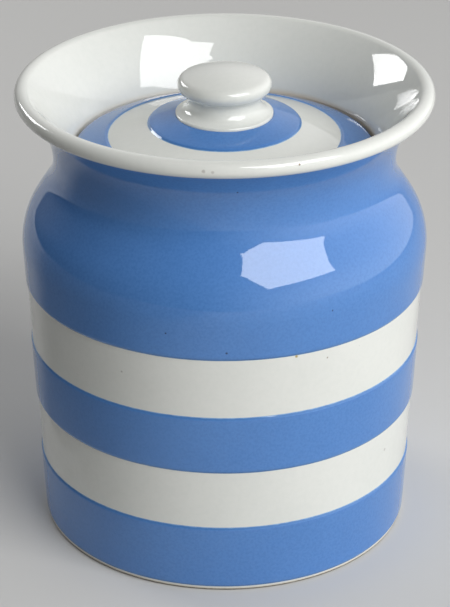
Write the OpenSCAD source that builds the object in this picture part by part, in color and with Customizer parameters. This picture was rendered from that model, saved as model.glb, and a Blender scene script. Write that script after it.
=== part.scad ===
// Banded biscuit jar with a flared mouth and a lid that lies sunk in its neck.
// Every piece is turned about the Z axis, and the foot stands on Z = 0.
// Lengths are in millimetres and angles in degrees.

/* [Jar] */
// Height from the foot to the top of the rim
jar_h = 190.7; // [180:0.1:205]
// Diameter across the rolled rim
rim_d = 168.2; // [162:0.2:176]
// Thickness of the rolled rim
rim_t = 6.8; // [5:0.1:8]
// Diameter of the bare clay at the foot
foot_d = 152; // [146:0.5:158]
// Angle at which the wall leans out from upright
wall_lean = 2.9; // [1:0.1:4.5]
// Thickness of the wall
wall_t = 6; // [4.5:0.1:7]
// Thickness of the floor
floor_t = 7; // [5:0.1:10]
// Radius of the corner inside, between floor and wall
floor_fillet = 12; // [4:0.5:20]

/* [Shoulder and neck] */
// Radius of the shoulder's outward curve
shoulder_curve = 31.4; // [24:0.2:36]
// Angle at which the shoulder runs in to the neck, from upright
shoulder_slope = 33; // [28:0.5:40]
// Radius of the hollow curve around the neck
neck_curve = 19.6; // [14:0.2:24]
// Radius of the wider hollow curve from the neck up to the rim
mouth_curve = 32.5; // [30:0.5:36]
// Thickness of the neck outside the lid
neck_t = 6.7; // [5:0.1:9]
// Height of the mouth, from the narrowest part of the neck to the top of the rim
mouth_h = 30.9; // [26:0.1:36]

/* [Ledge inside the neck] */
// How far the ledge lies below the narrowest part of the neck
ledge_drop = 1.4; // [0:0.1:3]
// Thickness of the ledge at its inner edge
ledge_t = 5; // [3.5:0.1:7]
// Height of the upright wall around the lid's edge
seat_depth = 5; // [3:0.1:6]

/* [Foot] */
// Width of the ring that the jar stands on
foot_ring_w = 7; // [5:0.5:12]
// Depth of the hollow inside that ring
foot_hollow = 2.5; // [1:0.1:4]
// Radius of the ring's outer edge
foot_round = 0.8; // [0.5:0.1:1.7]

/* [Coloured slip] */
// Thickness of the slip where it stands proud of the clay
slip_t = 0.65; // [0.4:0.05:0.9]
// Bare clay below the foot band
foot_bare = 1.7; // [1.7:0.1:4]
// Height of the foot band
foot_band_h = 28.8; // [20:0.1:32]
// Height of the middle band and of each bare stripe beside it
stripe_h = 25.7; // [20:0.1:27]
// Bare clay between the shoulder band and the rim
rim_bare = 0.3; // [0.3:0.1:5]
// Outer diameter of the ring around the knob
inner_ring_d = 62.3; // [50:0.1:74]
// Inner diameter of the ring at the lid's edge
outer_ring_d = 93.8; // [82:0.1:106]

/* [Lid] */
// Diameter of the lid's bare clay
lid_d = 120.7; // [116:0.1:124]
// Thickness of the lid
lid_t = 5; // [4:0.1:6]
// Height of the lid's edge, to where its crown would meet it unrounded
lid_edge_h = 4.5; // [3.5:0.1:6]
// Rise of the crown from the lid's edge to the knob
crown_rise = 13.8; // [8:0.1:18]
// Radius of the crown's slight bow
crown_bow = 400; // [150:10:800]
// Radius of the lid's upper edge
lid_round = 2; // [1:0.1:2.5]
// Gap between the lid's edge and the neck
lid_gap = 1; // [0.6:0.1:2]
// Gap between the lid and the ledge that carries it
seat_gap = 0.3; // [0.2:0.05:0.5]
// Outer diameter of the ring under the lid that keeps it in place
flange_d = 107; // [98:0.5:112]
// Width of that ring
flange_t = 3.8; // [3:0.1:5]
// Depth of that ring below the lid
flange_h = 8; // [5:0.5:12]
// Gap between that ring and the ledge
flange_gap = 1.2; // [0.6:0.1:2]

/* [Knob] */
// Margin of the flat on the lid that carries the knob
knob_seat = 0.4; // [0.2:0.1:1.5]
// Height of the knob above the lid
knob_h = 19.2; // [18:0.1:24]
// Diameter of the knob's cap
cap_d = 37.8; // [34:0.1:42]
// Thickness of the cap
cap_t = 11.8; // [9:0.1:12.5]
// Radius of the cap's edge
cap_edge = 2.1; // [1.2:0.1:3]
// Diameter of the waist under the cap
waist_d = 29.2; // [26:0.1:31]
// Radius of the curve between waist and cap
waist_fillet = 2; // [1:0.1:3]
// Diameter of the knob's foot
knob_foot_d = 39.2; // [36:0.1:42]
// Height of the foot's upright edge
knob_foot_edge = 1.4; // [0.5:0.1:2.5]
// Radius of the curve between foot and waist
foot_flare = 5.4; // [5.2:0.1:8]

/* [Hidden] */
$fn = 240;
// Fragments of the lid's wide bows
bow_fn = 1440;
// Angle by which an arc runs on past the point where its neighbour touches it
lap = 4;
clay = "#ECEDE8";
slip = "#4C7FCB";

// Unit direction at an angle above the outward radius
function dir(a) = [cos(a), sin(a)];
// Point on the arc of radius r about c where a touching line ends, a hair inside the circle
function touch(c, r, a) = c + r * cos(lap / 2) * dir(a);
// Angle from upright of the line from p to q
function lean_of(p, q) = atan2(q[0] - p[0], q[1] - p[1]);
// Centre of the arc of radius r that bows outward from p up to q
function bow_centre(p, q, r) =
    let (chord = q - p, side = [chord[1], -chord[0]] / norm(chord))
    (p + q) / 2 - side * sqrt(r * r - chord * chord / 4);

foot_r = foot_d / 2;
foot_c = [foot_r - foot_round * (1 - sin(wall_lean)) / cos(wall_lean), foot_round];
lid_r = lid_d / 2;
rim_r = rim_t / 2;

// The lip is a round roll, the neck a hollow curve round the lid's seat
seat_r = lid_r + slip_t + lid_gap;
neck_z = jar_h - mouth_h;
neck_c = [seat_r + neck_t + neck_curve, neck_z];
mouth_c = [seat_r + neck_t + mouth_curve, neck_z];
rim_c = [rim_d / 2 - rim_r, jar_h - rim_r];

// The shoulder is an arc that touches the leaning wall and the slope in to the neck
wall_line = foot_r * cos(wall_lean) - shoulder_curve;
slope_line = neck_c * dir(shoulder_slope) - neck_curve - shoulder_curve;
shoulder_c = [
    wall_line * sin(shoulder_slope) + slope_line * sin(wall_lean),
    slope_line * cos(wall_lean) - wall_line * cos(shoulder_slope)
] / sin(shoulder_slope + wall_lean);

// Seat of the lid inside the neck
ledge_z = neck_z - ledge_drop;
throat_r = flange_d / 2 + flange_gap;
seat_top = [seat_r, ledge_z + seat_depth];
funnel_lean = lean_of(seat_top, rim_c) - asin(rim_r / norm(rim_c - seat_top));
funnel_top = touch(rim_c, rim_r, 180 - funnel_lean);

// Heights of the bands' edges
foot_band_top = foot_bare + foot_band_h;
middle_band_z = foot_band_top + stripe_h;
shoulder_band_z = middle_band_z + 2 * stripe_h;
shoulder_band_top = jar_h - rim_t - rim_bare;

// The lid's crown runs from its edge up to the flat that carries the knob
lid_z = ledge_z + seat_gap;
knob_foot_r = knob_foot_d / 2;
knob_z = lid_z + lid_edge_h + crown_rise;
crown_c = bow_centre([lid_r, lid_z + lid_edge_h], [knob_foot_r + knob_seat, knob_z], crown_bow);
edge_c = [
    lid_r - lid_round,
    crown_c[1] + sqrt(pow(crown_bow - lid_round * cos(lap / 2), 2) - pow(lid_r - lid_round - crown_c[0], 2))
];
crown_edge = 90 - lean_of(crown_c, edge_c);
flange_r = flange_d / 2;

// The cap is a lens of two bows that run into a round edge
cap_r = cap_d / 2;
cap_z = knob_z + knob_h - cap_t / 2;
cap_sink = cap_edge * cos(lap / 2);
cap_bow = (pow(cap_r - cap_edge, 2) + pow(cap_t / 2, 2) - pow(cap_sink, 2)) / (cap_t - 2 * cap_sink);
cap_offset = cap_bow - cap_t / 2;
cap_touch_r = (cap_r - cap_edge) * cap_bow / (cap_bow - cap_sink);

// The knob's stem is hollowed by a flare at its foot and a fillet under the cap
waist_r = waist_d / 2;
flare_c = [
    waist_r + foot_flare,
    knob_z + knob_foot_edge + sqrt(pow(foot_flare, 2) - pow(waist_r + foot_flare - knob_foot_r, 2))
];
under_c = [0, cap_z + cap_offset];
fillet_reach = cap_bow + waist_fillet * cos(lap / 2);
fillet_c = [
    waist_r + waist_fillet,
    under_c[1] - sqrt(pow(fillet_reach, 2) - pow(waist_r + waist_fillet, 2))
];
stem_top = under_c + (fillet_c - under_c) * cap_bow / fillet_reach;

// Slice of a disc about c between two angles, run on past both by the lap
module slice(c, r, from, to) {
    low = from - lap;
    high = to + lap;
    reach = 2 * r;
    intersection() {
        translate(c) circle(r);
        polygon([c, c + reach * dir(low), c + reach * dir((low + high) / 2), c + reach * dir(high)]);
    }
}

// Half outline of the jar from foot to lip, filled to the axis and grown by a skin
module jar_outline(grow) {
    foot_edge_r = foot_round + grow;
    shoulder_r = shoulder_curve + grow;
    neck_r = neck_curve - grow;
    difference() {
        union() {
            polygon([
                [0, -grow],
                [foot_c[0], -grow],
                touch(foot_c, foot_edge_r, -wall_lean),
                touch(shoulder_c, shoulder_r, -wall_lean),
                touch(shoulder_c, shoulder_r, shoulder_slope),
                touch(neck_c, neck_r, 180 + shoulder_slope),
                neck_c,
                rim_c,
                funnel_top,
                [0, funnel_top[1]]
            ]);
            translate(foot_c) circle(foot_edge_r);
            slice(shoulder_c, shoulder_r, -wall_lean, shoulder_slope);
        }
        translate(neck_c) circle(neck_r);
        intersection() {
            translate(mouth_c) circle(mouth_curve - grow);
            translate([0, neck_z]) square([mouth_c[0], mouth_h]);
        }
    }
}

// Half outline of the room inside the jar, up to the underside of the ledge
module room_outline() {
    inner_wall = foot_r * cos(wall_lean) - wall_t - floor_fillet;
    corner_z = floor_t + floor_fillet;
    corner_c = [(inner_wall + corner_z * sin(wall_lean)) / cos(wall_lean), corner_z];
    shoulder_r = shoulder_curve - wall_t;
    polygon([
        [0, floor_t],
        [corner_c[0], floor_t],
        touch(corner_c, floor_fillet, -wall_lean),
        touch(shoulder_c, shoulder_r, -wall_lean),
        touch(shoulder_c, shoulder_r, shoulder_slope),
        neck_c + (neck_curve + wall_t) * dir(180 + shoulder_slope),
        [throat_r, ledge_z - ledge_t],
        [0, ledge_z - ledge_t]
    ]);
    slice(corner_c, floor_fillet, -90, -wall_lean);
    slice(shoulder_c, shoulder_r, -wall_lean, shoulder_slope);
}

// Half outline of the way in: throat, seat of the lid and funnel up to the rim
module mouth_outline() {
    polygon([
        [0, ledge_z - ledge_t - 1],
        [throat_r, ledge_z - ledge_t],
        [throat_r, ledge_z],
        [seat_r, ledge_z],
        seat_top,
        funnel_top,
        [funnel_top[0], jar_h + 1],
        [0, jar_h + 1]
    ]);
}

// Half outline of the lid's top and edge, filled down to the seat and grown by a skin
module lid_outline(grow) {
    edge_r = lid_round + grow;
    crown_top = knob_z + grow;
    past_edge = edge_c + 2 * edge_r * dir(crown_edge);
    translate([0, lid_z]) square([lid_r + grow, edge_c[1] - lid_z]);
    slice(edge_c, edge_r, 0, crown_edge);
    intersection() {
        translate(crown_c) circle(crown_bow + grow, $fn = bow_fn);
        polygon([
            [0, lid_z],
            [edge_c[0], lid_z],
            edge_c,
            past_edge,
            [past_edge[0], crown_top],
            [0, crown_top]
        ]);
    }
}

// Band of slip round the jar between two heights
module band(low, high) {
    color(slip) rotate_extrude()
    intersection() {
        difference() {
            jar_outline(slip_t);
            jar_outline(0);
        }
        translate([0, low]) square([rim_d, high - low]);
    }
}

// Ring of slip on the lid between two radii
module lid_ring(inner, outer) {
    color(slip) rotate_extrude()
    intersection() {
        difference() {
            lid_outline(slip_t);
            lid_outline(0);
        }
        translate([inner, edge_c[1]]) square([outer - inner, knob_z + slip_t - edge_c[1]]);
    }
}

module jar_body() {
    color(clay) rotate_extrude() {
        difference() {
            jar_outline(0);
            room_outline();
            mouth_outline();
            translate([0, -1]) square([foot_r - foot_ring_w, foot_hollow + 1]);
        }
        // Rolled lip
        translate(rim_c) circle(rim_r);
    }
}

module foot_band() {
    band(foot_bare, foot_band_top);
}

module middle_band() {
    band(middle_band_z, middle_band_z + stripe_h);
}

module shoulder_band() {
    band(shoulder_band_z, shoulder_band_top);
}

module lid_disc() {
    flange_in = flange_r - flange_t;
    color(clay) rotate_extrude()
    difference() {
        union() {
            lid_outline(0);
            translate([flange_in, lid_z - flange_h + flange_t / 2]) square([flange_t, flange_h]);
            translate([flange_r - flange_t / 2, lid_z - flange_h + flange_t / 2]) circle(flange_t / 2);
        }
        intersection() {
            translate(crown_c) circle(crown_bow - lid_t, $fn = bow_fn);
            translate([0, lid_z - 1]) square([flange_in, knob_z - lid_t - lid_z + 1]);
        }
    }
}

module lid_outer_ring() {
    lid_ring(outer_ring_d / 2, lid_r + slip_t);
}

module lid_inner_ring() {
    lid_ring(knob_foot_r, inner_ring_d / 2);
}

module lid_knob() {
    color(clay) rotate_extrude() {
        // Stem
        difference() {
            polygon([
                [0, knob_z],
                [knob_foot_r, knob_z],
                [knob_foot_r, knob_z + knob_foot_edge],
                [waist_r, flare_c[1]],
                [waist_r, fillet_c[1]],
                stem_top,
                [0, cap_z]
            ]);
            translate(flare_c) circle(foot_flare);
            translate(fillet_c) circle(waist_fillet);
        }
        // Cap
        translate([cap_r - cap_edge, cap_z]) circle(cap_edge);
        intersection() {
            translate([0, cap_z - cap_offset]) circle(cap_bow);
            translate([0, cap_z + cap_offset]) circle(cap_bow);
            translate([0, cap_z - cap_t / 2]) square([cap_touch_r, cap_t]);
        }
    }
}

jar_body();
foot_band();
middle_band();
shoulder_band();
lid_disc();
lid_outer_ring();
lid_inner_ring();
lid_knob();
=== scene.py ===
"""Banded biscuit jar: turned pot, bands of blue slip, lid sunk in the neck and mushroom knob."""

import bisect
import math
import random

import bpy
from bpy.props import FloatProperty, FloatVectorProperty, PointerProperty
from mathutils import Matrix, Vector


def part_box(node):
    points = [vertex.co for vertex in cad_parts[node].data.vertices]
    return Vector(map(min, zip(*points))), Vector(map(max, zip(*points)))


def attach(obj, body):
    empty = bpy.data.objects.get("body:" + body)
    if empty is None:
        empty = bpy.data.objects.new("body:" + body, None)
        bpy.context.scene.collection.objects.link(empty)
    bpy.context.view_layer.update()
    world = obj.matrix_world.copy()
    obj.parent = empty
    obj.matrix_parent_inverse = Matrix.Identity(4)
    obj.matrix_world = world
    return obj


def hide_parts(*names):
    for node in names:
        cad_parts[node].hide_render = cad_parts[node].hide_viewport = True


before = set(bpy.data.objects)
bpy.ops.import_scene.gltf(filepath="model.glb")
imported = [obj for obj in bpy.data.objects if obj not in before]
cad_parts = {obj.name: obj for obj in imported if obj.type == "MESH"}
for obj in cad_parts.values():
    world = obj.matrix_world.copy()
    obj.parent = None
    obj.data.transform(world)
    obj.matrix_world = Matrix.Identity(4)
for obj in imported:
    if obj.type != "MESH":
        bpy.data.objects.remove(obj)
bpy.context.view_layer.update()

bl_info = {
    "name": "Banded Biscuit Jar",
    "version": (1, 0, 0),
    "blender": (4, 5, 0),
    "location": "View3D > Sidebar > Biscuit Jar",
    "description": "Turns a banded, glazed earthenware biscuit jar and lays out its studio",
    "category": "Add Mesh",
}

MM = 0.001

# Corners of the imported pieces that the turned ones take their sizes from
POT_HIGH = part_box("jar_body")[1]
LID_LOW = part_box("lid_disc")[0]
KNOB_LOW, KNOB_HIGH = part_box("lid_knob")
FOOT_LOW, FOOT_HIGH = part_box("foot_band")
MIDDLE_LOW, MIDDLE_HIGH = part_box("middle_band")
SHOULDER_LOW, SHOULDER_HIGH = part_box("shoulder_band")
INNER_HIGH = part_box("lid_inner_ring")[1]
OUTER_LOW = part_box("lid_outer_ring")[0]


# Sizes and looks that a user would change

def length(name, description, value):
    """Length property with its default in metres."""
    return FloatProperty(
        name=name, description=description, default=value, subtype="DISTANCE", unit="LENGTH")


def degrees(name, description, value):
    """Angle property with its default in degrees."""
    return FloatProperty(
        name=name, description=description, default=math.radians(value), subtype="ANGLE", unit="ROTATION")


def colour(name, description, value):
    """Colour property in the units that shaders use."""
    return FloatVectorProperty(
        name=name, description=description, default=value, subtype="COLOR", min=0, max=1)


class PotSizes(bpy.types.PropertyGroup):
    height: length("Height", "Foot to the top of the lip", POT_HIGH.z)
    mouth: length("Mouth", "Radius across the rolled lip", POT_HIGH.x)
    lip: length("Lip", "Radius of the lip's round roll", 3.4 * MM)
    foot: length("Foot", "Radius of the wall at the table", 76 * MM)
    foot_edge: length("Foot edge", "Rounding of the foot", 0.8 * MM)
    ring: length("Foot ring", "Radius inside the foot ring", 69 * MM)
    hollow: length("Hollow", "Depth inside the foot ring", 2.5 * MM)
    lean: degrees("Lean", "Lean of the wall", 2.9)
    wall: length("Wall", "Thickness of the wall", 6 * MM)
    floor: length("Floor", "Thickness of the floor", 7 * MM)
    floor_round: length("Floor corner", "Rounding inside", 12 * MM)
    shoulder: length("Shoulder", "Radius of the shoulder", 31.4 * MM)
    slope: degrees("Slope", "Lean of the shoulder", 33)
    neck_round: length("Neck curve", "Hollow of the neck", 19.6 * MM)
    mouth_round: length("Mouth curve", "Hollow up to the lip", 32.5 * MM)
    fill: length("Fill", "Glaze in the crease under the lip", 0.6 * MM)
    neck: length("Neck", "Smallest radius of the neck", 68.7 * MM)
    neck_height: length("Neck height", "Height of the neck", 159.8 * MM)
    seat: length("Seat", "Radius around the lid's edge", 62 * MM)
    seat_depth: length("Seat depth", "Wall around the lid", 5 * MM)
    ledge: length("Ledge", "Height of the lid's ledge", 158.4 * MM)
    ledge_wall: length("Ledge wall", "Thickness of the ledge", 5 * MM)
    bell: length("Bell", "Bow of the mouth's flare", 85 * MM)
    throat: length("Throat", "Radius inside the ledge", 54.7 * MM)


class SlipSizes(bpy.types.PropertyGroup):
    proud: length("Proud", "Height above the clay", 0.62 * MM)
    sink: length("Sink", "Depth of the back in the clay", 0.2 * MM)
    edge: length("Edge", "Width of the sloping edge", 2.2 * MM)
    waver: length("Waver", "Wander of the brushed edges", 0.12 * MM)


class LidSizes(bpy.types.PropertyGroup):
    radius: length("Radius", "Radius of the bare lid", 60.35 * MM)
    edge: length("Edge", "Height of the edge", 4.5 * MM)
    edge_round: length("Edge round", "Rounding of the edge", 2 * MM)
    seat: length("Seat", "Height at which the lid rests", 158.7 * MM)
    wall: length("Wall", "Thickness of the lid", 5 * MM)
    bow: length("Bow", "Radius of the crown's slight bow", 400 * MM)
    flange: length("Flange", "Radius of the ring below", 53.5 * MM)
    flange_wall: length("Flange wall", "Width of that ring", 3.8 * MM)
    white: length("White ring", "Radius outside the bare ring", 46.9 * MM)


class KnobSizes(bpy.types.PropertyGroup):
    foot_edge: length("Foot edge", "Height of the foot's edge", 1.4 * MM)
    flare: length("Flare", "Hollow above the foot", 5.4 * MM)
    waist: length("Waist", "Radius of the waist", 14.6 * MM)
    fillet: length("Fillet", "Hollow under the cap", 2 * MM)
    cap: length("Cap", "Radius of the cap", 18.9 * MM)
    cap_height: length("Cap height", "Thickness of the cap", 12.1 * MM)
    cap_edge: length("Cap edge", "Rounding of the cap", 3.6 * MM)


class GlazeLook(bpy.types.PropertyGroup):
    white: colour("White", "Clay seen through the clear glaze", (0.75, 0.76, 0.722))
    white_pooled: colour("White, pooled", "White where the glaze lies thicker", (0.68, 0.70, 0.662))
    blue: colour("Blue", "Slip seen through the clear glaze", (0.088, 0.236, 0.565))
    blue_dense: colour("Blue, dense", "Slip where it lies thick", (0.067, 0.195, 0.495))
    blue_thin: colour("Blue, thin", "Slip where it thins out at an edge", (0.30, 0.50, 0.72))
    blue_edge: colour("Blue, edge", "Slip heaped up just inside an edge", (0.05, 0.16, 0.40))
    biscuit: colour("Bare clay", "Unglazed clay of the foot", (0.62, 0.59, 0.51))
    # Painted contact shadow: dark colour painted where the foot meets the table
    contact_shadow: colour("Contact Shadow", "Grime where the foot meets the table", (0.11, 0.085, 0.055))
    stain: colour("Stain", "Stain in the joint around the lid", (0.66, 0.56, 0.42))
    roughness: FloatProperty(
        name="Roughness", description="Roughness of the glaze", default=0.03, min=0, max=1)


class StudioLook(bpy.types.PropertyGroup):
    table: colour("Table", "Colour of the table", (0.62, 0.617, 0.605))
    backdrop: colour("Backdrop", "Colour beyond the table", (0.5, 0.5, 0.5))
    table_size: length("Table size", "Width of the table", 6.0)
    room: FloatProperty(name="Room light", description="Strength of the light from all round", default=0.04)
    veil: FloatProperty(name="Veil", description="Strength of the pale wall at the right", default=1.5)
    far: FloatProperty(name="Far wall", description="Strength of the pale wall behind", default=0.9)
    camera: FloatVectorProperty(name="Camera", description="Place of the camera", subtype="TRANSLATION",
                                unit="LENGTH", default=(0, -0.93156, 0.55215))
    tilt: degrees("Tilt", "Tilt of the camera", 63.72)
    lens: FloatProperty(name="Lens", description="Focal length in millimetres", default=147.9)
    shift: FloatProperty(name="Shift", description="Sideways shift of the lens", default=0.0008)


# Turned outlines: lists of (radius, height) points

# Step along a straight run or a bow
STEP = 2.0 * MM
# Rounded corners: a step turns by no more than ARC_TURN, unless it would be shorter than ARC_STEP
ARC_STEP = 0.3 * MM
ARC_TURN = math.radians(2.5)
FEWEST_STEPS = 3
# Sides of a turned piece, and rows of points across a sloping edge of slip
SIDES = 256
EDGE_ROWS = 12
# Waves around a brushed edge
WAVER_TURNS = (2, 5, 11, 17)
# Index of an outline point's radius and of its height
RADIUS, HEIGHT = 0, 1

# Roundings of corners that a glaze fills or leaves sharp
SHARP_CORNER = 0.3 * MM
HOLLOW_CORNER = 0.6 * MM
PROUD_CORNER = 0.8 * MM
SOFT_CORNER = 1.5 * MM
SLOPE_CORNER = 4 * MM
FLANGE_CORNER = 1.85 * MM
# Points at the bell's foot that the rounding of the lid's seat takes the place of
BELL_FOOT_POINTS = 3
# Rise of the lid's hollow underside above its edge at the ring below
UNDERSIDE_RISE = 4 * MM
# Distance inside the lid's edge at which the outline of its underside ends
SEAT_INSET = 1 * MM
# Reach of the slip in under the knob
TUCK = 0.6 * MM


def point_at(angle):
    """Unit step at an angle above the outward radius."""
    return Vector((math.cos(angle), math.sin(angle)))


def leaning(lean):
    """Unit step upwards along a line that leans outwards from upright."""
    return Vector((math.sin(lean), math.cos(lean)))


def meet(p, lean_p, q, lean_q):
    """Point where two leaning lines cross."""
    a, b = leaning(lean_p), leaning(lean_q)
    along = ((q.x - p.x) * b.y - (q.y - p.y) * b.x) / (a.x * b.y - a.y * b.x)
    return p + a * along


def between(a, reach_a, b, reach_b):
    """Point at given reaches from two points, on the right of the way from the first to the second."""
    way = b - a
    along = (reach_a ** 2 - reach_b ** 2 + way.length_squared) / (2 * way.length)
    side = Vector((way.y, -way.x)).normalized()
    return a + way.normalized() * along + side * math.sqrt(reach_a ** 2 - along ** 2)


def straight(points, end):
    """Adds a straight run of short steps up to the end point."""
    start = points[-1]
    steps = max(1, round((end - start).length / STEP))
    points.extend(start.lerp(end, i / steps) for i in range(1, steps + 1))


def arc(centre, start, end, steps):
    """Points of an arc about a centre, without its start."""
    a, b = start - centre, end - centre
    turn = math.atan2(a.x * b.y - a.y * b.x, a.dot(b))
    return [centre + Matrix.Rotation(turn * i / steps, 2) @ a for i in range(1, steps + 1)]


def rounded(corners):
    """Points along (radius, height, rounding) corners, each rounded by an arc that touches its two lines."""
    points = [Vector(corners[0][:2])]
    for before, corner, after in zip(corners, corners[1:], corners[2:]):
        p, radius = Vector(corner[:2]), corner[2]
        back = (Vector(before[:2]) - p).normalized()
        ahead = (Vector(after[:2]) - p).normalized()
        turn = math.pi - back.angle(ahead)
        reach = radius * math.tan(turn / 2)
        centre = p + (back + ahead).normalized() * radius / math.cos(turn / 2)
        steps = max(FEWEST_STEPS, math.ceil(turn / max(ARC_TURN, ARC_STEP / radius)))
        straight(points, p + back * reach)
        points.extend(arc(centre, p + back * reach, p + ahead * reach, steps))
    straight(points, Vector(corners[-1][:2]))
    return points


def bowed(start, end, radius):
    """Points of a shallow arc that bows to the right of the way from start to end, without its start."""
    chord = end - start
    side = Vector((chord.y, -chord.x)).normalized()
    centre = (start + end) / 2 - side * math.sqrt(radius ** 2 - chord.length_squared / 4)
    return arc(centre, start, end, max(2, round(chord.length / STEP)))


def pot_outline(size):
    """Outside of the pot from its foot up to the lip's top, and the whole outline of the pot."""
    lip = Vector((size.mouth - size.lip, size.height - size.lip))
    neck = Vector((size.neck + size.neck_round, size.neck_height))
    hollow = Vector((size.neck + size.mouth_round, size.neck_height))
    crease = between(lip, size.lip + size.fill, hollow, size.mouth_round - size.fill)
    seat = Vector((size.seat, size.ledge + size.seat_depth))
    bell = between(seat, size.bell, lip, size.bell - size.lip)
    bell_end = lip + (lip - bell).normalized() * size.lip
    foot = Vector((size.foot, 0))
    slope = neck + size.neck_round * point_at(math.pi + size.slope)
    inward = Vector((math.cos(size.lean), math.sin(size.lean))) * size.wall
    inner_slope = neck + (size.neck_round + size.wall) * point_at(math.pi + size.slope)
    under_ledge = size.ledge - size.ledge_wall
    shoulder_corner = meet(foot, size.lean, slope, -size.slope)
    inner_foot = foot - inward
    inner_shoulder = meet(inner_foot, size.lean, inner_slope, -size.slope)
    inner_corner = meet(inner_foot, size.lean, Vector((0, size.floor)), math.pi / 2)
    ring_middle = (size.ring + size.foot) / 2
    under = rounded([
        (0, size.hollow),
        (size.ring, size.hollow, HOLLOW_CORNER),
        (size.ring, 0, PROUD_CORNER),
        (ring_middle, 0),
    ])
    outside = rounded([
        (ring_middle, 0),
        (*foot, size.foot_edge),
        (*shoulder_corner, size.shoulder),
        tuple(slope),
    ])
    outside += arc(neck, slope, Vector((size.neck, size.neck_height)), steps=12)
    outside += arc(hollow, outside[-1], hollow + (crease - hollow).normalized() * size.mouth_round, steps=20)
    outside += arc(crease, outside[-1], lip + (crease - lip).normalized() * size.lip, steps=6)
    outside += arc(lip, outside[-1], Vector((size.mouth, lip.y)), steps=22)
    outside += arc(lip, outside[-1], Vector((lip.x, size.height)), steps=18)
    inside = [Vector((lip.x, size.height))]
    inside += arc(lip, inside[0], bell_end, steps=16)
    inside += arc(bell, bell_end, seat, steps=24)[:-BELL_FOOT_POINTS]
    inside += rounded([
        tuple(inside[-1]),
        (*seat, SOFT_CORNER),
        (size.seat, size.ledge, HOLLOW_CORNER),
        (size.throat, size.ledge, PROUD_CORNER),
        (size.throat, under_ledge, SOFT_CORNER),
        (*inner_slope, SLOPE_CORNER),
        (*inner_shoulder, size.shoulder - size.wall),
        (*inner_corner, size.floor_round),
        (0, size.floor),
    ])[1:]
    return outside, under + outside[1:] + inside[1:]


def lid_outline(size):
    """Top of the lid from its seat up to the axis, and the whole outline of the lid."""
    crown_foot = Vector((size.radius, size.seat + size.edge))
    crown_top = Vector((KNOB_HIGH.x, KNOB_LOW.z))
    crown = bowed(crown_foot, crown_top, size.bow)
    over_edge = crown[round(2 * size.edge_round / STEP)]
    edge = rounded([(size.radius, size.seat), (*crown_foot, size.edge_round), tuple(over_edge)])
    crown = bowed(edge[-1], crown_top, size.bow)
    top = edge + crown
    straight(top, Vector((0, crown_top.y)))
    flange_in = size.flange - size.flange_wall
    under_height = crown_top.y - size.wall
    middle = Vector((KNOB_HIGH.x, under_height))
    flange_top = Vector((flange_in, size.seat + size.edge - size.wall + UNDERSIDE_RISE))
    under = [Vector((0, under_height))]
    straight(under, middle)
    under += bowed(flange_top, middle, size.bow)[::-1][1:]
    under += rounded([
        tuple(flange_top),
        (flange_in, LID_LOW.z, FLANGE_CORNER),
        (size.flange, LID_LOW.z, FLANGE_CORNER),
        (size.flange, size.seat, HOLLOW_CORNER),
        (size.radius - SEAT_INSET, size.seat),
    ])
    return top, under + top


def knob_outline(size):
    """Whole outline of the knob, from the middle of its foot over the cap to the axis."""
    foot, foot_z, top_z = KNOB_HIGH.x, KNOB_LOW.z, KNOB_HIGH.z
    half = size.cap_height / 2
    cap_z = top_z - half
    reach = size.cap - size.cap_edge
    bow = (reach ** 2 + half ** 2 - size.cap_edge ** 2) / (2 * (half - size.cap_edge))
    rise = bow - half
    flare_z = foot_z + size.foot_edge + math.sqrt(size.flare ** 2 - (size.waist + size.flare - foot) ** 2)
    flare = Vector((size.waist + size.flare, flare_z))
    over = Vector((0, cap_z + rise))
    fillet_x = size.waist + size.fillet
    fillet = Vector((fillet_x, over.y - math.sqrt((bow + size.fillet) ** 2 - fillet_x ** 2)))
    edge = Vector((reach, cap_z))
    under_touch = over + (fillet - over) * bow / (bow + size.fillet)
    low_touch = edge + (edge - over).normalized() * size.cap_edge
    high_touch = Vector((low_touch.x, 2 * cap_z - low_touch.y))
    outline = rounded([(0, foot_z), (foot, foot_z, SHARP_CORNER), (foot, foot_z + size.foot_edge)])
    outline += arc(flare, outline[-1], Vector((size.waist, flare_z)), steps=16)
    straight(outline, Vector((size.waist, fillet.y)))
    outline += arc(fillet, outline[-1], under_touch, steps=10)
    outline += arc(over, under_touch, low_touch, steps=8)
    outline += arc(edge, low_touch, Vector((size.cap, cap_z)), steps=8)
    outline += arc(edge, outline[-1], high_touch, steps=8)
    outline += arc(Vector((0, cap_z - rise)), high_touch, Vector((0, top_z)), steps=32)
    return outline


# Meshes

def turned(name, outline):
    """Object made by turning a closed outline, which starts and ends on the axis, about Z."""
    ring_points = outline[1:-1]
    verts = [(0, 0, outline[0].y)]
    for p in ring_points:
        for k in range(SIDES):
            angle = 2 * math.pi * k / SIDES
            verts.append((p.x * math.cos(angle), p.x * math.sin(angle), p.y))
    verts.append((0, 0, outline[-1].y))
    last = len(verts) - 1
    faces = [(0, 1 + (k + 1) % SIDES, 1 + k) for k in range(SIDES)]
    for row in range(len(ring_points) - 1):
        base = 1 + row * SIDES
        for k in range(SIDES):
            nxt = (k + 1) % SIDES
            faces.append((base + k, base + nxt, base + SIDES + nxt, base + SIDES + k))
    top = last - SIDES
    faces += [(top + k, top + (k + 1) % SIDES, last) for k in range(SIDES)]
    return shown(name, verts, faces)


def shown(name, verts, faces):
    """Smooth mesh object in the scene."""
    mesh = bpy.data.meshes.new(name)
    mesh.from_pydata(verts, [], faces)
    mesh.shade_smooth()
    mesh.validate()
    obj = bpy.data.objects.new(name, mesh)
    bpy.context.scene.collection.objects.link(obj)
    return obj


def turn_over(p, normal, lift, angle):
    """Point of an outline, lifted along its normal and turned to an angle about Z."""
    q = p + normal * lift
    return (q.x * math.cos(angle), q.x * math.sin(angle), q.y)


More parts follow.
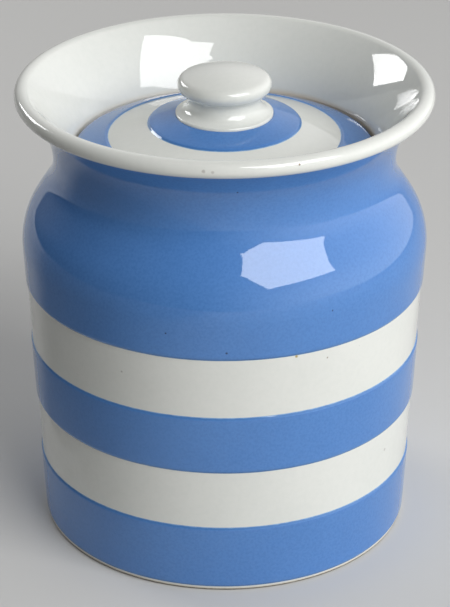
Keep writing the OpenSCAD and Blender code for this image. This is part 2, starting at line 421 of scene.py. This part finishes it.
def ways_along(outline):
    """Distance along an outline to each of its points."""
    ways = [0.0]
    for a, b in zip(outline, outline[1:]):
        ways.append(ways[-1] + (b - a).length)
    return ways


def normals_along(outline):
    """Outward unit normal at each point of an outline."""
    steps = [(b - a).normalized() for a, b in zip(outline, outline[1:])]
    means = [steps[0]] + [(a + b).normalized() for a, b in zip(steps, steps[1:])] + [steps[-1]]
    return [Vector((m.y, -m.x)) for m in means]


def way_to(outline, axis, value):
    """Distance along an outline to where its radius (axis 0) or height (axis 1) first passes a value."""
    ways = ways_along(outline)
    for i, (a, b) in enumerate(zip(outline, outline[1:])):
        if min(a[axis], b[axis]) <= value <= max(a[axis], b[axis]) and a[axis] != b[axis]:
            return ways[i] + (ways[i + 1] - ways[i]) * (value - a[axis]) / (b[axis] - a[axis])
    raise ValueError(f"the outline never reaches {value}")


def slip_coat(name, outline, start, end, size, seed):
    """Closed layer of slip laid over an outline from one way along it to another, with sloping edges."""
    ways, normals = ways_along(outline), normals_along(outline)

    def at(way):
        i = min(max(bisect.bisect_right(ways, way) - 1, 0), len(outline) - 2)
        share = (way - ways[i]) / (ways[i + 1] - ways[i])
        return outline[i].lerp(outline[i + 1], share), normals[i].lerp(normals[i + 1], share).normalized()

    draw = random.Random(seed)
    waves = [(n, draw.uniform(0, 2 * math.pi), draw.uniform(0, 2 * math.pi)) for n in WAVER_TURNS]
    rounds = [math.pi * i / EDGE_ROWS for i in range(EDGE_ROWS + 1)]
    # Width of the part of a sloping edge that lies below the clay
    hidden = size.edge * math.acos(1 - 2 * size.sink / (size.proud + size.sink)) / math.pi
    start, end = start - hidden, end + hidden
    middle = max(2, round((end - start - 2 * size.edge) / STEP))
    across = [size.edge * t / math.pi for t in rounds]
    lifts = [(size.proud + size.sink) * (1 - math.cos(t)) / 2 - size.sink for t in rounds]
    rows = 2 * len(rounds) + middle - 1
    verts, from_start, from_end = [], [], []
    for k in range(SIDES):
        angle = 2 * math.pi * k / SIDES
        sway = [sum(math.sin(n * angle + phase[i]) / n ** 0.5 for n, *phase in waves) / 2 for i in (0, 1)]
        low, high = start + size.waver * sway[0], end + size.waver * sway[1]
        inner = [low + size.edge + (high - low - 2 * size.edge) * i / middle for i in range(1, middle)]
        places = [low + d for d in across] + inner + [high - d for d in reversed(across)]
        heights = lifts + [size.proud] * (middle - 1) + lifts[::-1]
        front = [turn_over(*at(way), lift, angle) for way, lift in zip(places, heights)]
        back = [turn_over(*at(way), -size.sink, angle) for way in places[-2:0:-1]]
        verts += front + back
        for way in places + places[-2:0:-1]:
            from_start.append(way - low - hidden)
            from_end.append(high - hidden - way)
    loop = 2 * rows - 2
    faces = []
    for k in range(SIDES):
        here, there = k * loop, (k + 1) % SIDES * loop
        for i in range(loop):
            j = (i + 1) % loop
            faces.append((here + i, there + i, there + j, here + j))
    obj = shown(name, verts, faces)
    for label, values in (("from_start", from_start), ("from_end", from_end)):
        obj.data.attributes.new(label, "FLOAT", "POINT").data.foreach_set("value", values)
    return obj


# Shader nodes

def feed(tree, made, sockets):
    """Gives each named socket of a node a value or another node's output."""
    for key, value in sockets.items():
        if isinstance(value, bpy.types.NodeSocket):
            tree.links.new(value, made.inputs[key])
        else:
            made.inputs[key].default_value = value


def node(tree, kind, sockets=None, **settings):
    """Node with its settings and what its sockets take."""
    made = tree.nodes.new("ShaderNode" + kind)
    for key, value in settings.items():
        setattr(made, key, value)
    feed(tree, made, sockets or {})
    return made


def maths(tree, operation, a, b=0.0, clamp=False):
    """Output of a Math node."""
    return node(tree, "Math", {0: a, 1: b}, operation=operation, use_clamp=clamp).outputs[0]


def plus(tree, a, b, clamp=False):
    """Sum of two values, kept between 0 and 1 if clamped."""
    return maths(tree, "ADD", a, b, clamp)


def minus(tree, a, b):
    """First value less the second."""
    return maths(tree, "SUBTRACT", a, b)


def times(tree, a, b):
    """Product of two values."""
    return maths(tree, "MULTIPLY", a, b)


def rgba(value):
    """Colour with full alpha."""
    return (*value[:3], 1)


def blended(tree, share, a, b):
    """Output of a Mix node for colours."""
    made = node(tree, "Mix", {0: share}, data_type="RGBA")
    for i, value in ((6, a), (7, b)):
        if isinstance(value, bpy.types.NodeSocket):
            tree.links.new(value, made.inputs[i])
        else:
            made.inputs[i].default_value = rgba(value)
    return made.outputs[2]


def ramp(tree, value, low, high):
    """Smooth mask that rises from 0 at low to 1 at high."""
    made = node(tree, "MapRange", {0: value, 1: low, 2: high}, interpolation_type="SMOOTHSTEP")
    return made.outputs[0]


def noise(tree, place, scale, detail=2.0, roughness=0.5):
    """Output of a Noise Texture node."""
    sockets = {"Vector": place, "Scale": scale, "Detail": detail, "Roughness": roughness}
    return node(tree, "TexNoise", sockets).outputs[0]


def group(name, inputs, outputs):
    """Node group with named sockets, its input node and its output node."""
    tree = bpy.data.node_groups.new(name, "ShaderNodeTree")
    for label, kind, default in inputs:
        made = tree.interface.new_socket(name=label, in_out="INPUT", socket_type="NodeSocket" + kind)
        made.default_value = default
    for label, kind in outputs:
        tree.interface.new_socket(name=label, in_out="OUTPUT", socket_type="NodeSocket" + kind)
    return tree, tree.nodes.new("NodeGroupInput").outputs, tree.nodes.new("NodeGroupOutput").inputs


# Middle of a noise's values
NOISE_MEAN = 0.5
# Wander of the turning marks from level
TURNING_DRIFT = 4 * MM
# Pinholes: cells to the metre, size as a share of a cell, and share of the cells that hold one
PINHOLE_SPACING = 150.0
PINHOLE_SIZE = 0.05
PINHOLE_SHARE = 0.08
# Edges of the slip: wander of the fringe, where it is palest, and strengths of the fringe and the dark rim
FRINGE_WANDER = 0.5 * MM
FRINGE_END = -0.1 * MM
FRINGE_SHARE = 0.8
RIM_SHARE = 0.55
# Stain in the lid's joint: ragged height, depth below its heaviest part, half width of its change from the
# left to the right, and its strength at the left and what the right adds
STAIN_RAGGED = 2 * MM
STAIN_DEPTH = 6 * MM
STAIN_TURN = 50 * MM
STAIN_LEFT = 0.35
STAIN_ADDED = 0.5
# Bare foot: wander and softness of the glaze's lower edge, roughness of the clay, and the heights between
# which the painted contact shadow at the table comes in, with its strength
WIPE_WANDER = 0.4 * MM
WIPE_FADE = 0.3 * MM
CLAY_ROUGHNESS = 0.6
CONTACT_SHADOW_TOP, CONTACT_SHADOW_FULL = 1.2 * MM, 0.7 * MM
CONTACT_SHADOW_SHARE = 0.9
# Solid core of a small mark, as a share of its size
SPOT_CORE = 0.4
GLAZE_IOR = 1.6


def mottle_group():
    """Fine and broad mottling of a colour, as slip and glaze dry and melt unevenly."""
    tree, given, result = group(
        "Glaze Mottle",
        [("Colour", "Color", (1, 1, 1, 1)), ("Deep Colour", "Color", (0.5, 0.5, 0.5, 1)),
         ("Grain", "Float", 900.0), ("Grain Amount", "Float", 0.5), ("Cloud Amount", "Float", 0.5)],
        [("Colour", "Color")])
    place = node(tree, "TexCoord").outputs["Object"]
    grain = ramp(tree, noise(tree, place, given["Grain"], detail=3.0, roughness=0.6), low=0.35, high=0.7)
    cloud = ramp(tree, noise(tree, place, scale=28.0, detail=3.0, roughness=0.55), low=0.3, high=0.75)
    share = plus(tree, times(tree, grain, given["Grain Amount"]),
                 times(tree, cloud, given["Cloud Amount"]), clamp=True)
    tree.links.new(blended(tree, share, given["Colour"], given["Deep Colour"]), result["Colour"])
    return tree


def specks_group():
    """Sparse round specks of iron that show through the glaze."""
    tree, given, result = group(
        "Iron Specks",
        [("Colour", "Color", (1, 1, 1, 1)), ("Speck Colour", "Color", (0.1, 0.07, 0.04, 1)),
         ("Spacing", "Float", 120.0), ("Size", "Float", 0.03), ("Share", "Float", 0.1)],
        [("Colour", "Color")])
    place = node(tree, "TexCoord").outputs["Object"]
    cells = node(tree, "TexVoronoi", {"Vector": place, "Scale": given["Spacing"]})
    spot = ramp(tree, cells.outputs["Distance"], given["Size"], 0.0)
    pick = node(tree, "SeparateColor", {0: cells.outputs["Color"]}).outputs[0]
    mask = times(tree, spot, maths(tree, "LESS_THAN", pick, given["Share"]))
    tree.links.new(blended(tree, mask, given["Colour"], given["Speck Colour"]), result["Colour"])
    return tree


def ripple_group():
    """Height of the glaze's slight waviness, its turning marks and its few pinholes, in metres."""
    tree, given, result = group(
        "Glaze Ripple",
        [("Waves", "Float", 0.02 * MM), ("Turning Marks", "Float", 0.01 * MM),
         ("Pinholes", "Float", 0.04 * MM)],
        [("Height", "Float")])
    place = node(tree, "TexCoord").outputs["Object"]
    waves = times(tree, noise(tree, place, scale=60.0, detail=1.0, roughness=0.4), given["Waves"])
    split = node(tree, "SeparateXYZ", {0: place}).outputs
    drift = times(tree, noise(tree, place, scale=9.0, detail=1.0), TURNING_DRIFT)
    level = node(tree, "CombineXYZ", {2: plus(tree, split[2], drift)}).outputs[0]
    marks = times(tree, noise(tree, level, scale=260.0, detail=2.0), given["Turning Marks"])
    cells = node(tree, "TexVoronoi", {"Vector": place, "Scale": PINHOLE_SPACING})
    pick = node(tree, "SeparateColor", {0: cells.outputs["Color"]}).outputs[1]
    hole = times(tree, ramp(tree, cells.outputs["Distance"], PINHOLE_SIZE, 0.0),
                 maths(tree, "LESS_THAN", pick, PINHOLE_SHARE))
    sunk = times(tree, hole, given["Pinholes"])
    tree.links.new(minus(tree, plus(tree, waves, marks), sunk), result["Height"])
    return tree


def slip_edge_group():
    """Slip that thins out to a pale fringe at its two edges and lies dark and thick just inside them."""
    tree, given, result = group(
        "Slip Edge",
        [("Colour", "Color", (1, 1, 1, 1)), ("Thin Colour", "Color", (0.5, 0.7, 0.9, 1)),
         ("Deep Colour", "Color", (0.05, 0.1, 0.3, 1)), ("Fringe", "Float", 0.5 * MM),
         ("Rim", "Float", 1.1 * MM)],
        [("Colour", "Color")])
    place = node(tree, "TexCoord").outputs["Object"]
    start = node(tree, "Attribute", attribute_name="from_start").outputs["Fac"]
    end = node(tree, "Attribute", attribute_name="from_end").outputs["Fac"]
    uneven = minus(tree, noise(tree, place, scale=420.0, detail=2.0), NOISE_MEAN)
    near = plus(tree, maths(tree, "MINIMUM", start, end), times(tree, uneven, FRINGE_WANDER))
    deep = times(tree, ramp(tree, near, given["Rim"], given["Fringe"]), RIM_SHARE)
    thin = times(tree, ramp(tree, near, given["Fringe"], FRINGE_END), FRINGE_SHARE)
    inner = blended(tree, deep, given["Colour"], given["Deep Colour"])
    tree.links.new(blended(tree, thin, inner, given["Thin Colour"]), result["Colour"])
    return tree


def joint_stain_group():
    """Tea-brown stain that has crept up the wall from the joint around the lid, heavier on one side."""
    tree, given, result = group(
        "Joint Stain",
        [("Low", "Float", 163 * MM), ("High", "Float", 166.5 * MM), ("Inner Radius", "Float", 61.2 * MM)],
        [("Mask", "Float")])
    place = node(tree, "TexCoord").outputs["Object"]
    split = node(tree, "SeparateXYZ", {0: place}).outputs
    flat_place = node(tree, "CombineXYZ", {0: split[0], 1: split[1]}).outputs[0]
    radius = node(tree, "VectorMath", {0: flat_place}, operation="LENGTH").outputs["Value"]
    patchy = noise(tree, place, scale=55.0, detail=3.0, roughness=0.6)
    top = minus(tree, given["High"], times(tree, patchy, STAIN_RAGGED))
    fade = ramp(tree, split[2], top, given["Low"])
    above = maths(tree, "GREATER_THAN", split[2], minus(tree, given["Low"], STAIN_DEPTH))
    wall = maths(tree, "GREATER_THAN", radius, given["Inner Radius"])
    rightward = ramp(tree, split[0], -STAIN_TURN, STAIN_TURN)
    side = plus(tree, times(tree, rightward, STAIN_ADDED), STAIN_LEFT)
    mask = times(tree, times(tree, fade, above), times(tree, wall, side))
    tree.links.new(mask, result["Mask"])
    return tree


def bare_foot_group():
    """Foot wiped bare of glaze, with a painted contact shadow where it meets the table."""
    tree, given, result = group(
        "Bare Foot",
        [("Colour", "Color", (1, 1, 1, 1)), ("Clay Colour", "Color", (0.6, 0.5, 0.4, 1)),
         ("Grime Colour", "Color", (0.2, 0.15, 0.1, 1)), ("Glaze Roughness", "Float", 0.03),
         ("Height", "Float", 1.3 * MM)],
        [("Colour", "Color"), ("Roughness", "Float")])
    place = node(tree, "TexCoord").outputs["Object"]
    level = node(tree, "SeparateXYZ", {0: place}).outputs[2]
    grain = noise(tree, place, scale=700.0, detail=3.0, roughness=0.6)
    wavy = plus(tree, level, times(tree, grain, WIPE_WANDER))
    bare = ramp(tree, wavy, plus(tree, given["Height"], WIPE_FADE), given["Height"])
    # Painted shadow: the clay turns dark where the foot meets the table
    contact_shadow = times(tree, ramp(tree, wavy, CONTACT_SHADOW_TOP, CONTACT_SHADOW_FULL), CONTACT_SHADOW_SHARE)
    clay = blended(tree, contact_shadow, given["Clay Colour"], given["Grime Colour"])
    tree.links.new(blended(tree, bare, given["Colour"], clay), result["Colour"])
    rough = times(tree, bare, minus(tree, CLAY_ROUGHNESS, given["Glaze Roughness"]))
    tree.links.new(plus(tree, rough, given["Glaze Roughness"]), result["Roughness"])
    return tree


def spot_group():
    """Mask of one small, uneven mark fired into the glaze."""
    tree, given, result = group(
        "Glaze Spot", [("Place", "Vector", (0, 0, 0)), ("Size", "Float", 0.5 * MM)], [("Mask", "Float")])
    place = node(tree, "TexCoord").outputs["Object"]
    away = node(tree, "VectorMath", {0: place, 1: given["Place"]}, operation="DISTANCE").outputs["Value"]
    uneven = plus(tree, noise(tree, place, scale=1400.0, detail=2.0), 1 - NOISE_MEAN)
    core = times(tree, given["Size"], SPOT_CORE)
    tree.links.new(ramp(tree, times(tree, away, uneven), given["Size"], core), result["Mask"])
    return tree


def bumped(tree, height):
    """Normal from a height in metres."""
    return node(tree, "Bump", {"Strength": 1.0, "Distance": 1.0, "Height": height}).outputs[0]


def finish(name):
    """New material, its node tree and its shader."""
    made = bpy.data.materials.new(name)
    made.use_nodes = True
    shader = made.node_tree.nodes["Principled BSDF"]
    return made, made.node_tree, shader


def built(kind, make):
    """Node group of a kind, built the first time it is asked for."""
    return bpy.data.node_groups.get(kind) or make()


def use(tree, kind, make, sockets):
    """Outputs of a node group placed in a material with its own values."""
    made = tree.nodes.new("ShaderNodeGroup")
    made.node_tree = built(kind, make)
    feed(tree, made, sockets)
    return made.outputs


# Small marks fired into the glaze: place and size in millimetres, and colour
WHITE_MARKS = (
    ((27.8, -79.0, 188.7), 0.55, (0.20, 0.13, 0.07)),
    ((-7.8, -83.7, 187.9), 0.9, (0.52, 0.51, 0.48)),
    ((-4.4, -84.0, 187.6), 0.8, (0.55, 0.54, 0.51)),
    ((65.5, -43.1, 46.8), 0.9, (0.55, 0.54, 0.51)),
    ((-40.2, -70.2, 97.2), 0.6, (0.48, 0.47, 0.44)),
    ((40.1, -70.7, 103.6), 0.5, (0.32, 0.29, 0.24)),
    ((27.8, -76.5, 107.1), 0.8, (0.45, 0.36, 0.14)),
)
BLUE_MARKS = (
    ((0.8, -82.3, 111.4), 0.65, (0.03, 0.06, 0.14)),
    ((-22.6, -79.5, 118.6), 0.5, (0.02, 0.05, 0.12)),
    ((41.6, -71.6, 124.5), 0.5, (0.03, 0.07, 0.18)),
    ((4.9, -72.8, 174.6), 0.45, (0.02, 0.05, 0.12)),
    ((27.8, -76.5, 107.3), 0.8, (0.45, 0.36, 0.14)),
)


def marked(tree, colour_out, marks):
    """Colour with the small fired-in marks laid over it."""
    for place, size, tint in marks:
        mask = use(tree, "Glaze Spot", spot_group, {"Place": Vector(place) * MM, "Size": size * MM})["Mask"]
        colour_out = blended(tree, mask, colour_out, tint)
    return colour_out


def white_glaze():
    """White earthenware under clear glaze, with a faint mottle, specks and pinholes."""
    look = bpy.context.scene.jar_glaze
    made, tree, shader = finish("White Glazed Clay")
    colour_out = use(tree, "Glaze Mottle", mottle_group, {
        "Colour": rgba(look.white), "Deep Colour": rgba(look.white_pooled), "Grain": 420.0,
        "Grain Amount": 0.25, "Cloud Amount": 0.35})["Colour"]
    colour_out = use(tree, "Iron Specks", specks_group, {
        "Colour": colour_out, "Speck Colour": (0.2, 0.17, 0.13, 1), "Spacing": 95.0, "Size": 0.035,
        "Share": 0.03})["Colour"]
    colour_out = marked(tree, colour_out, WHITE_MARKS)
    stain = use(tree, "Joint Stain", joint_stain_group, {})["Mask"]
    colour_out = blended(tree, stain, colour_out, look.stain)
    # Painted contact shadow at the foot, where it meets the table
    foot = use(tree, "Bare Foot", bare_foot_group, {
        "Colour": colour_out, "Clay Colour": rgba(look.biscuit), "Grime Colour": rgba(look.contact_shadow),
        "Glaze Roughness": look.roughness})
    tree.links.new(foot["Colour"], shader.inputs["Base Color"])
    tree.links.new(foot["Roughness"], shader.inputs["Roughness"])
    height = use(tree, "Glaze Ripple", ripple_group, {})["Height"]
    tree.links.new(bumped(tree, height), shader.inputs["Normal"])
    shader.inputs["IOR"].default_value = GLAZE_IOR
    return made


def blue_glaze():
    """Blue slip under clear glaze: mottled, dark where it is thick and pale where it thins to an edge."""
    look = bpy.context.scene.jar_glaze
    made, tree, shader = finish("Blue Glazed Slip")
    colour_out = use(tree, "Glaze Mottle", mottle_group, {
        "Colour": rgba(look.blue), "Deep Colour": rgba(look.blue_dense), "Grain": 900.0,
        "Grain Amount": 0.55, "Cloud Amount": 0.3})["Colour"]
    colour_out = use(tree, "Iron Specks", specks_group, {
        "Colour": colour_out, "Speck Colour": (0.02, 0.04, 0.12, 1), "Spacing": 110.0, "Size": 0.045,
        "Share": 0.06})["Colour"]
    colour_out = use(tree, "Slip Edge", slip_edge_group, {
        "Colour": colour_out, "Thin Colour": rgba(look.blue_thin),
        "Deep Colour": rgba(look.blue_edge)})["Colour"]
    colour_out = marked(tree, colour_out, BLUE_MARKS)
    tree.links.new(colour_out, shader.inputs["Base Color"])
    height = use(tree, "Glaze Ripple", ripple_group, {})["Height"]
    tree.links.new(bumped(tree, height), shader.inputs["Normal"])
    shader.inputs["Roughness"].default_value = look.roughness
    shader.inputs["IOR"].default_value = GLAZE_IOR
    return made


def placed(obj, material, body, node_name):
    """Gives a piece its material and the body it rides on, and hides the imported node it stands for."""
    obj.data.materials.append(material)
    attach(obj, body)
    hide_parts(node_name)


def kept(make, name):
    """Material by name, made the first time it is asked for."""
    return bpy.data.materials.get(name) or make()


# Operators

# Seed of the first ring's waver on the lid; the pot's bands count from 0
FIRST_LID_SEED = 7


class JAR_OT_turn_pot(bpy.types.Operator):
    """Turn the pot on its foot ring, with its shoulder, hollow neck, rolled lip and the lid's ledge"""
    bl_idname = "jar.turn_pot"
    bl_label = "Turn the Pot"

    def execute(self, context):
        whole = pot_outline(context.scene.jar_pot)[1]
        placed(turned("turned_pot", whole), kept(white_glaze, "White Glazed Clay"), "jar", "jar_body")
        return {"FINISHED"}


class JAR_OT_band_pot(bpy.types.Operator):
    """Lay the three bands of blue slip around the pot"""
    bl_idname = "jar.band_pot"
    bl_label = "Lay the Bands"

    def execute(self, context):
        outside = pot_outline(context.scene.jar_pot)[0]
        bands = (("foot", FOOT_LOW.z, FOOT_HIGH.z), ("middle", MIDDLE_LOW.z, MIDDLE_HIGH.z),
                 ("shoulder", SHOULDER_LOW.z, SHOULDER_HIGH.z))
        for seed, (name, low, high) in enumerate(bands):
            start, end = way_to(outside, HEIGHT, low), way_to(outside, HEIGHT, high)
            coat = slip_coat(name + "_slip", outside, start, end, context.scene.jar_slip, seed)
            placed(coat, kept(blue_glaze, "Blue Glazed Slip"), "jar", name + "_band")
        return {"FINISHED"}


class JAR_OT_turn_lid(bpy.types.Operator):
    """Turn the lid with the flange that keeps it on its ledge"""
    bl_idname = "jar.turn_lid"
    bl_label = "Turn the Lid"

    def execute(self, context):
        whole = lid_outline(context.scene.jar_lid)[1]
        placed(turned("turned_lid", whole), kept(white_glaze, "White Glazed Clay"), "lid", "lid_disc")
        return {"FINISHED"}


class JAR_OT_ring_lid(bpy.types.Operator):
    """Lay the two rings of blue slip on the lid"""
    bl_idname = "jar.ring_lid"
    bl_label = "Lay the Rings"

    def execute(self, context):
        size = context.scene.jar_lid
        top = lid_outline(size)[0]
        rings = (
            ("lid_edge_slip", "lid_outer_ring", way_to(top, HEIGHT, OUTER_LOW.z), size.white),
            ("lid_inner_slip", "lid_inner_ring", way_to(top, RADIUS, INNER_HIGH.x), KNOB_HIGH.x - TUCK),
        )
        for seed, (name, stands_for, start, inner) in enumerate(rings, FIRST_LID_SEED):
            coat = slip_coat(name, top, start, way_to(top, RADIUS, inner), context.scene.jar_slip, seed)
            placed(coat, kept(blue_glaze, "Blue Glazed Slip"), "lid", stands_for)
        return {"FINISHED"}


class JAR_OT_turn_knob(bpy.types.Operator):
    """Turn the mushroom knob"""
    bl_idname = "jar.turn_knob"
    bl_label = "Turn the Knob"

    def execute(self, context):
        whole = knob_outline(context.scene.jar_knob)
        placed(turned("mushroom_knob", whole), kept(white_glaze, "White Glazed Clay"), "lid", "lid_knob")
        return {"FINISHED"}


# Left, right and front edges, in metres, of the part of the table that shows in the glaze
TABLE_LEFT, TABLE_RIGHT, TABLE_FRONT = -1.25, 1.7, -1.08
TABLE_ROUGHNESS = 0.85

# Painted shade card, standing in for shade on the table at the front left as the glaze shows it: corners on
# the table and lift above it in metres, shade, share of its width and depth over which its edges fade, and the
# azimuths in degrees between which it fades in
CARD = [(-1.9, -1.06), (-0.02, -1.06), (-0.02, -0.13), (-0.13, -0.03), (-0.14, 0.9), (-1.9, 0.9)]
CARD_LIFT = 1 * MM
CARD_SHADE = 0.22
CARD_EDGE = 0.12
CARD_FADE = (-128, -104)

# Pale walls at the right and behind: azimuth and elevation of the middle, and the angles from it between
# which the light fades in, all in degrees
VEIL = (92, 10), (110, 20)
FAR = (200, 45), (62, 10)

# Upward part of the direction at which both walls would be dark, and at which they are full: a little of
# their light is left straight overhead, where that part is 1
CEILING = (1.2, 0.0)

# Panels: the point that they face and their distance from it in metres, then name, azimuth and elevation in
# degrees, corners in metres and strength
AIM = Vector((0, 0, 0.14))
PANEL_REACH = 2.0
KEY_SHAPE = [(-0.48, -0.55), (0.99, -0.4), (0.65, 0.67), (-0.13, 0.62), (-0.25, 0.56), (-0.68, 0.68),
             (-0.68, 0.39), (-0.8, 0.31), (-0.69, 0.24), (-0.8, 0.19), (-0.7, 0.09)]
LEFT_SHAPE = [(0.46, 0.42), (0.27, -0.17), (-0.53, -0.3), (-0.44, -0.09), (-0.09, 0.21)]
PANELS = (
    ("panel_key", 38, 36, KEY_SHAPE, 6.6),
    ("panel_left", -129, 21, LEFT_SHAPE, 8.5),
)


def facing(azimuth, elevation):
    """Unit step from the jar, by an azimuth from the front round to the right and an elevation, in degrees."""
    a, e = math.radians(azimuth), math.radians(elevation)
    return Vector((math.sin(a) * math.cos(e), -math.cos(a) * math.cos(e), math.sin(e)))


def soft_edge_group():
    """Mask of a flat card that fades towards its edges."""
    tree, given, result = group("Soft Edge", [("Fade", "Float", 0.3)], [("Mask", "Float")])
    place = node(tree, "TexCoord").outputs["Generated"]
    split = node(tree, "SeparateXYZ", {0: place}).outputs
    masks = []
    for side in split[:2]:
        near = maths(tree, "MINIMUM", side, minus(tree, 1.0, side))
        masks.append(ramp(tree, near, 0.0, given["Fade"]))
    tree.links.new(times(tree, *masks), result["Mask"])
    return tree


def bare_material(name):
    """New material and its node tree, with no nodes in it."""
    made = bpy.data.materials.new(name)
    made.use_nodes = True
    made.node_tree.nodes.clear()
    return made, made.node_tree


def panel(name, azimuth, elevation, corners, strength):
    """Glowing panel that faces the jar; its corners are (towards higher azimuth, up) in metres."""
    mesh = bpy.data.meshes.new(name)
    mesh.from_pydata([(x, y, 0) for x, y in corners], [], [range(len(corners))])
    obj = bpy.data.objects.new(name, mesh)
    out = facing(azimuth, elevation)
    obj.location = AIM + out * PANEL_REACH
    obj.rotation_euler = out.to_track_quat("Z", "Y").to_euler()
    obj.visible_camera = False
    bpy.context.scene.collection.objects.link(obj)
    made, tree = bare_material(name)
    glow = node(tree, "Emission", {"Strength": strength}).outputs[0]
    node(tree, "OutputMaterial", {"Surface": glow})
    mesh.materials.append(made)


def flat(name, corners, material, seen_in_glaze):
    """Flat piece of the table."""
    obj = shown(name, [(x, y, 0) for x, y in corners], [range(len(corners))])
    obj.data.materials.append(material)
    obj.visible_glossy = seen_in_glaze


def lay_table(look):
    """Table in four parts, of which only the middle one shows in the glaze."""
    made, _, shader = finish("Table")
    shader.inputs["Base Color"].default_value = rgba(look.table)
    shader.inputs["Roughness"].default_value = TABLE_ROUGHNESS
    far = look.table_size / 2
    parts = (
        ("table", TABLE_LEFT, TABLE_RIGHT, TABLE_FRONT, far, True),
        ("table_front", -far, far, -far, TABLE_FRONT, False),
        ("table_left", -far, TABLE_LEFT, TABLE_FRONT, far, False),
        ("table_right", TABLE_RIGHT, far, TABLE_FRONT, far, False),
    )
    for name, left, right, front, back, seen_in_glaze in parts:
        corners = [(left, front), (right, front), (right, back), (left, back)]
        flat(name, corners, made, seen_in_glaze)


def painted_shade_card():
    """Soft-edged dark card at the front left that paints shade into the glaze, hidden from the camera and
    clear from below.
    """
    obj = shown("painted_shade_card", [(x, y, CARD_LIFT) for x, y in CARD], [range(len(CARD))])
    made, tree = bare_material("Painted Shade Card")
    above = minus(tree, 1.0, node(tree, "NewGeometry").outputs["Backfacing"])
    split = node(tree, "SeparateXYZ", {0: node(tree, "TexCoord").outputs["Object"]}).outputs
    azimuth = maths(tree, "ARCTAN2", split[0], times(tree, split[1], -1.0))
    ahead = times(tree, above, ramp(tree, azimuth, *map(math.radians, CARD_FADE)))
    mask = times(tree, ahead, use(tree, "Soft Edge", soft_edge_group, {"Fade": CARD_EDGE})["Mask"])
    clear = node(tree, "BsdfTransparent").outputs[0]
    dark = node(tree, "BsdfDiffuse", {"Color": rgba((CARD_SHADE,) * 3)}).outputs[0]
    mixed = node(tree, "MixShader", {0: mask, 1: clear, 2: dark}).outputs[0]
    node(tree, "OutputMaterial", {"Surface": mixed})
    obj.data.materials.append(made)
    obj.visible_camera = obj.visible_shadow = False


def room_light(look):
    """World with light from all round and from two pale walls, and a plain backdrop for the camera."""
    world = bpy.data.worlds.new("Room")
    world.use_nodes = True
    tree = world.node_tree
    seen = node(tree, "LightPath").outputs["Is Camera Ray"]
    way = node(tree, "TexCoord").outputs["Generated"]
    upward = node(tree, "SeparateXYZ", {0: way}).outputs[2]
    ceiling = ramp(tree, upward, *CEILING)
    glow = look.room
    for strength, middle, fade in ((look.veil, *VEIL), (look.far, *FAR)):
        across = node(tree, "VectorMath", {0: way, 1: facing(*middle)}, operation="DOT_PRODUCT")
        away = maths(tree, "ARCCOSINE", across.outputs["Value"])
        wall = ramp(tree, away, *map(math.radians, fade))
        glow = plus(tree, glow, times(tree, wall, times(tree, ceiling, strength)))
    grey = node(tree, "CombineColor", {0: glow, 1: glow, 2: glow}).outputs[0]
    shade = blended(tree, seen, grey, look.backdrop)
    tree.links.new(shade, tree.nodes["Background"].inputs["Color"])
    return world


def stand_camera(scene, look):
    """Camera of the scene."""
    lens = bpy.data.cameras.new("camera")
    lens.lens = look.lens
    lens.shift_x = look.shift
    camera = bpy.data.objects.new("camera", lens)
    camera.location = look.camera
    camera.rotation_euler = (look.tilt, 0, 0)
    scene.collection.objects.link(camera)
    scene.camera = camera


class JAR_OT_set_stage(bpy.types.Operator):
    """Lay the table, hang the panels and stand the camera"""
    bl_idname = "jar.set_stage"
    bl_label = "Set the Stage"

    def execute(self, context):
        scene, look = context.scene, context.scene.jar_studio
        lay_table(look)
        # Painted shade: a dark card that the glaze shows at the front left
        painted_shade_card()
        scene.world = room_light(look)
        for details in PANELS:
            panel(*details)
        stand_camera(scene, look)
        scene.view_settings.view_transform = "Standard"
        return {"FINISHED"}


class JAR_PT_making(bpy.types.Panel):
    """Sizes, looks and steps of the biscuit jar"""
    bl_label = "Biscuit Jar"
    bl_idname = "JAR_PT_making"
    bl_space_type = "VIEW_3D"
    bl_region_type = "UI"
    bl_category = "Biscuit Jar"

    def draw(self, context):
        for attribute, title, _ in GROUPS:
            box = self.layout.box()
            box.label(text=title)
            held = getattr(context.scene, attribute)
            for key in type(held).__annotations__:
                box.prop(held, key)
        for step in STEPS:
            self.layout.operator(step.bl_idname)


STEPS = (
    JAR_OT_turn_pot, JAR_OT_band_pot, JAR_OT_turn_lid, JAR_OT_ring_lid, JAR_OT_turn_knob, JAR_OT_set_stage,
)
GROUPS = (
    ("jar_pot", "Pot", PotSizes),
    ("jar_slip", "Slip", SlipSizes),
    ("jar_lid", "Lid", LidSizes),
    ("jar_knob", "Knob", KnobSizes),
    ("jar_glaze", "Glaze", GlazeLook),
    ("jar_studio", "Studio", StudioLook),
)
CLASSES = (*(kind for _, _, kind in GROUPS), *STEPS, JAR_PT_making)


def register():
    """Registers the sizes, steps and panel."""
    for made in CLASSES:
        bpy.utils.register_class(made)
    for attribute, _, kind in GROUPS:
        setattr(bpy.types.Scene, attribute, PointerProperty(type=kind))


def unregister():
    """Takes them away again."""
    for attribute, _, _ in GROUPS:
        delattr(bpy.types.Scene, attribute)
    for made in reversed(CLASSES):
        bpy.utils.unregister_class(made)


def main():
    """Makes the jar and its stage."""
    register()
    bpy.ops.jar.turn_pot()
    bpy.ops.jar.band_pot()
    bpy.ops.jar.turn_lid()
    bpy.ops.jar.ring_lid()
    bpy.ops.jar.turn_knob()
    bpy.ops.jar.set_stage()


if __name__ == "__main__":
    main()
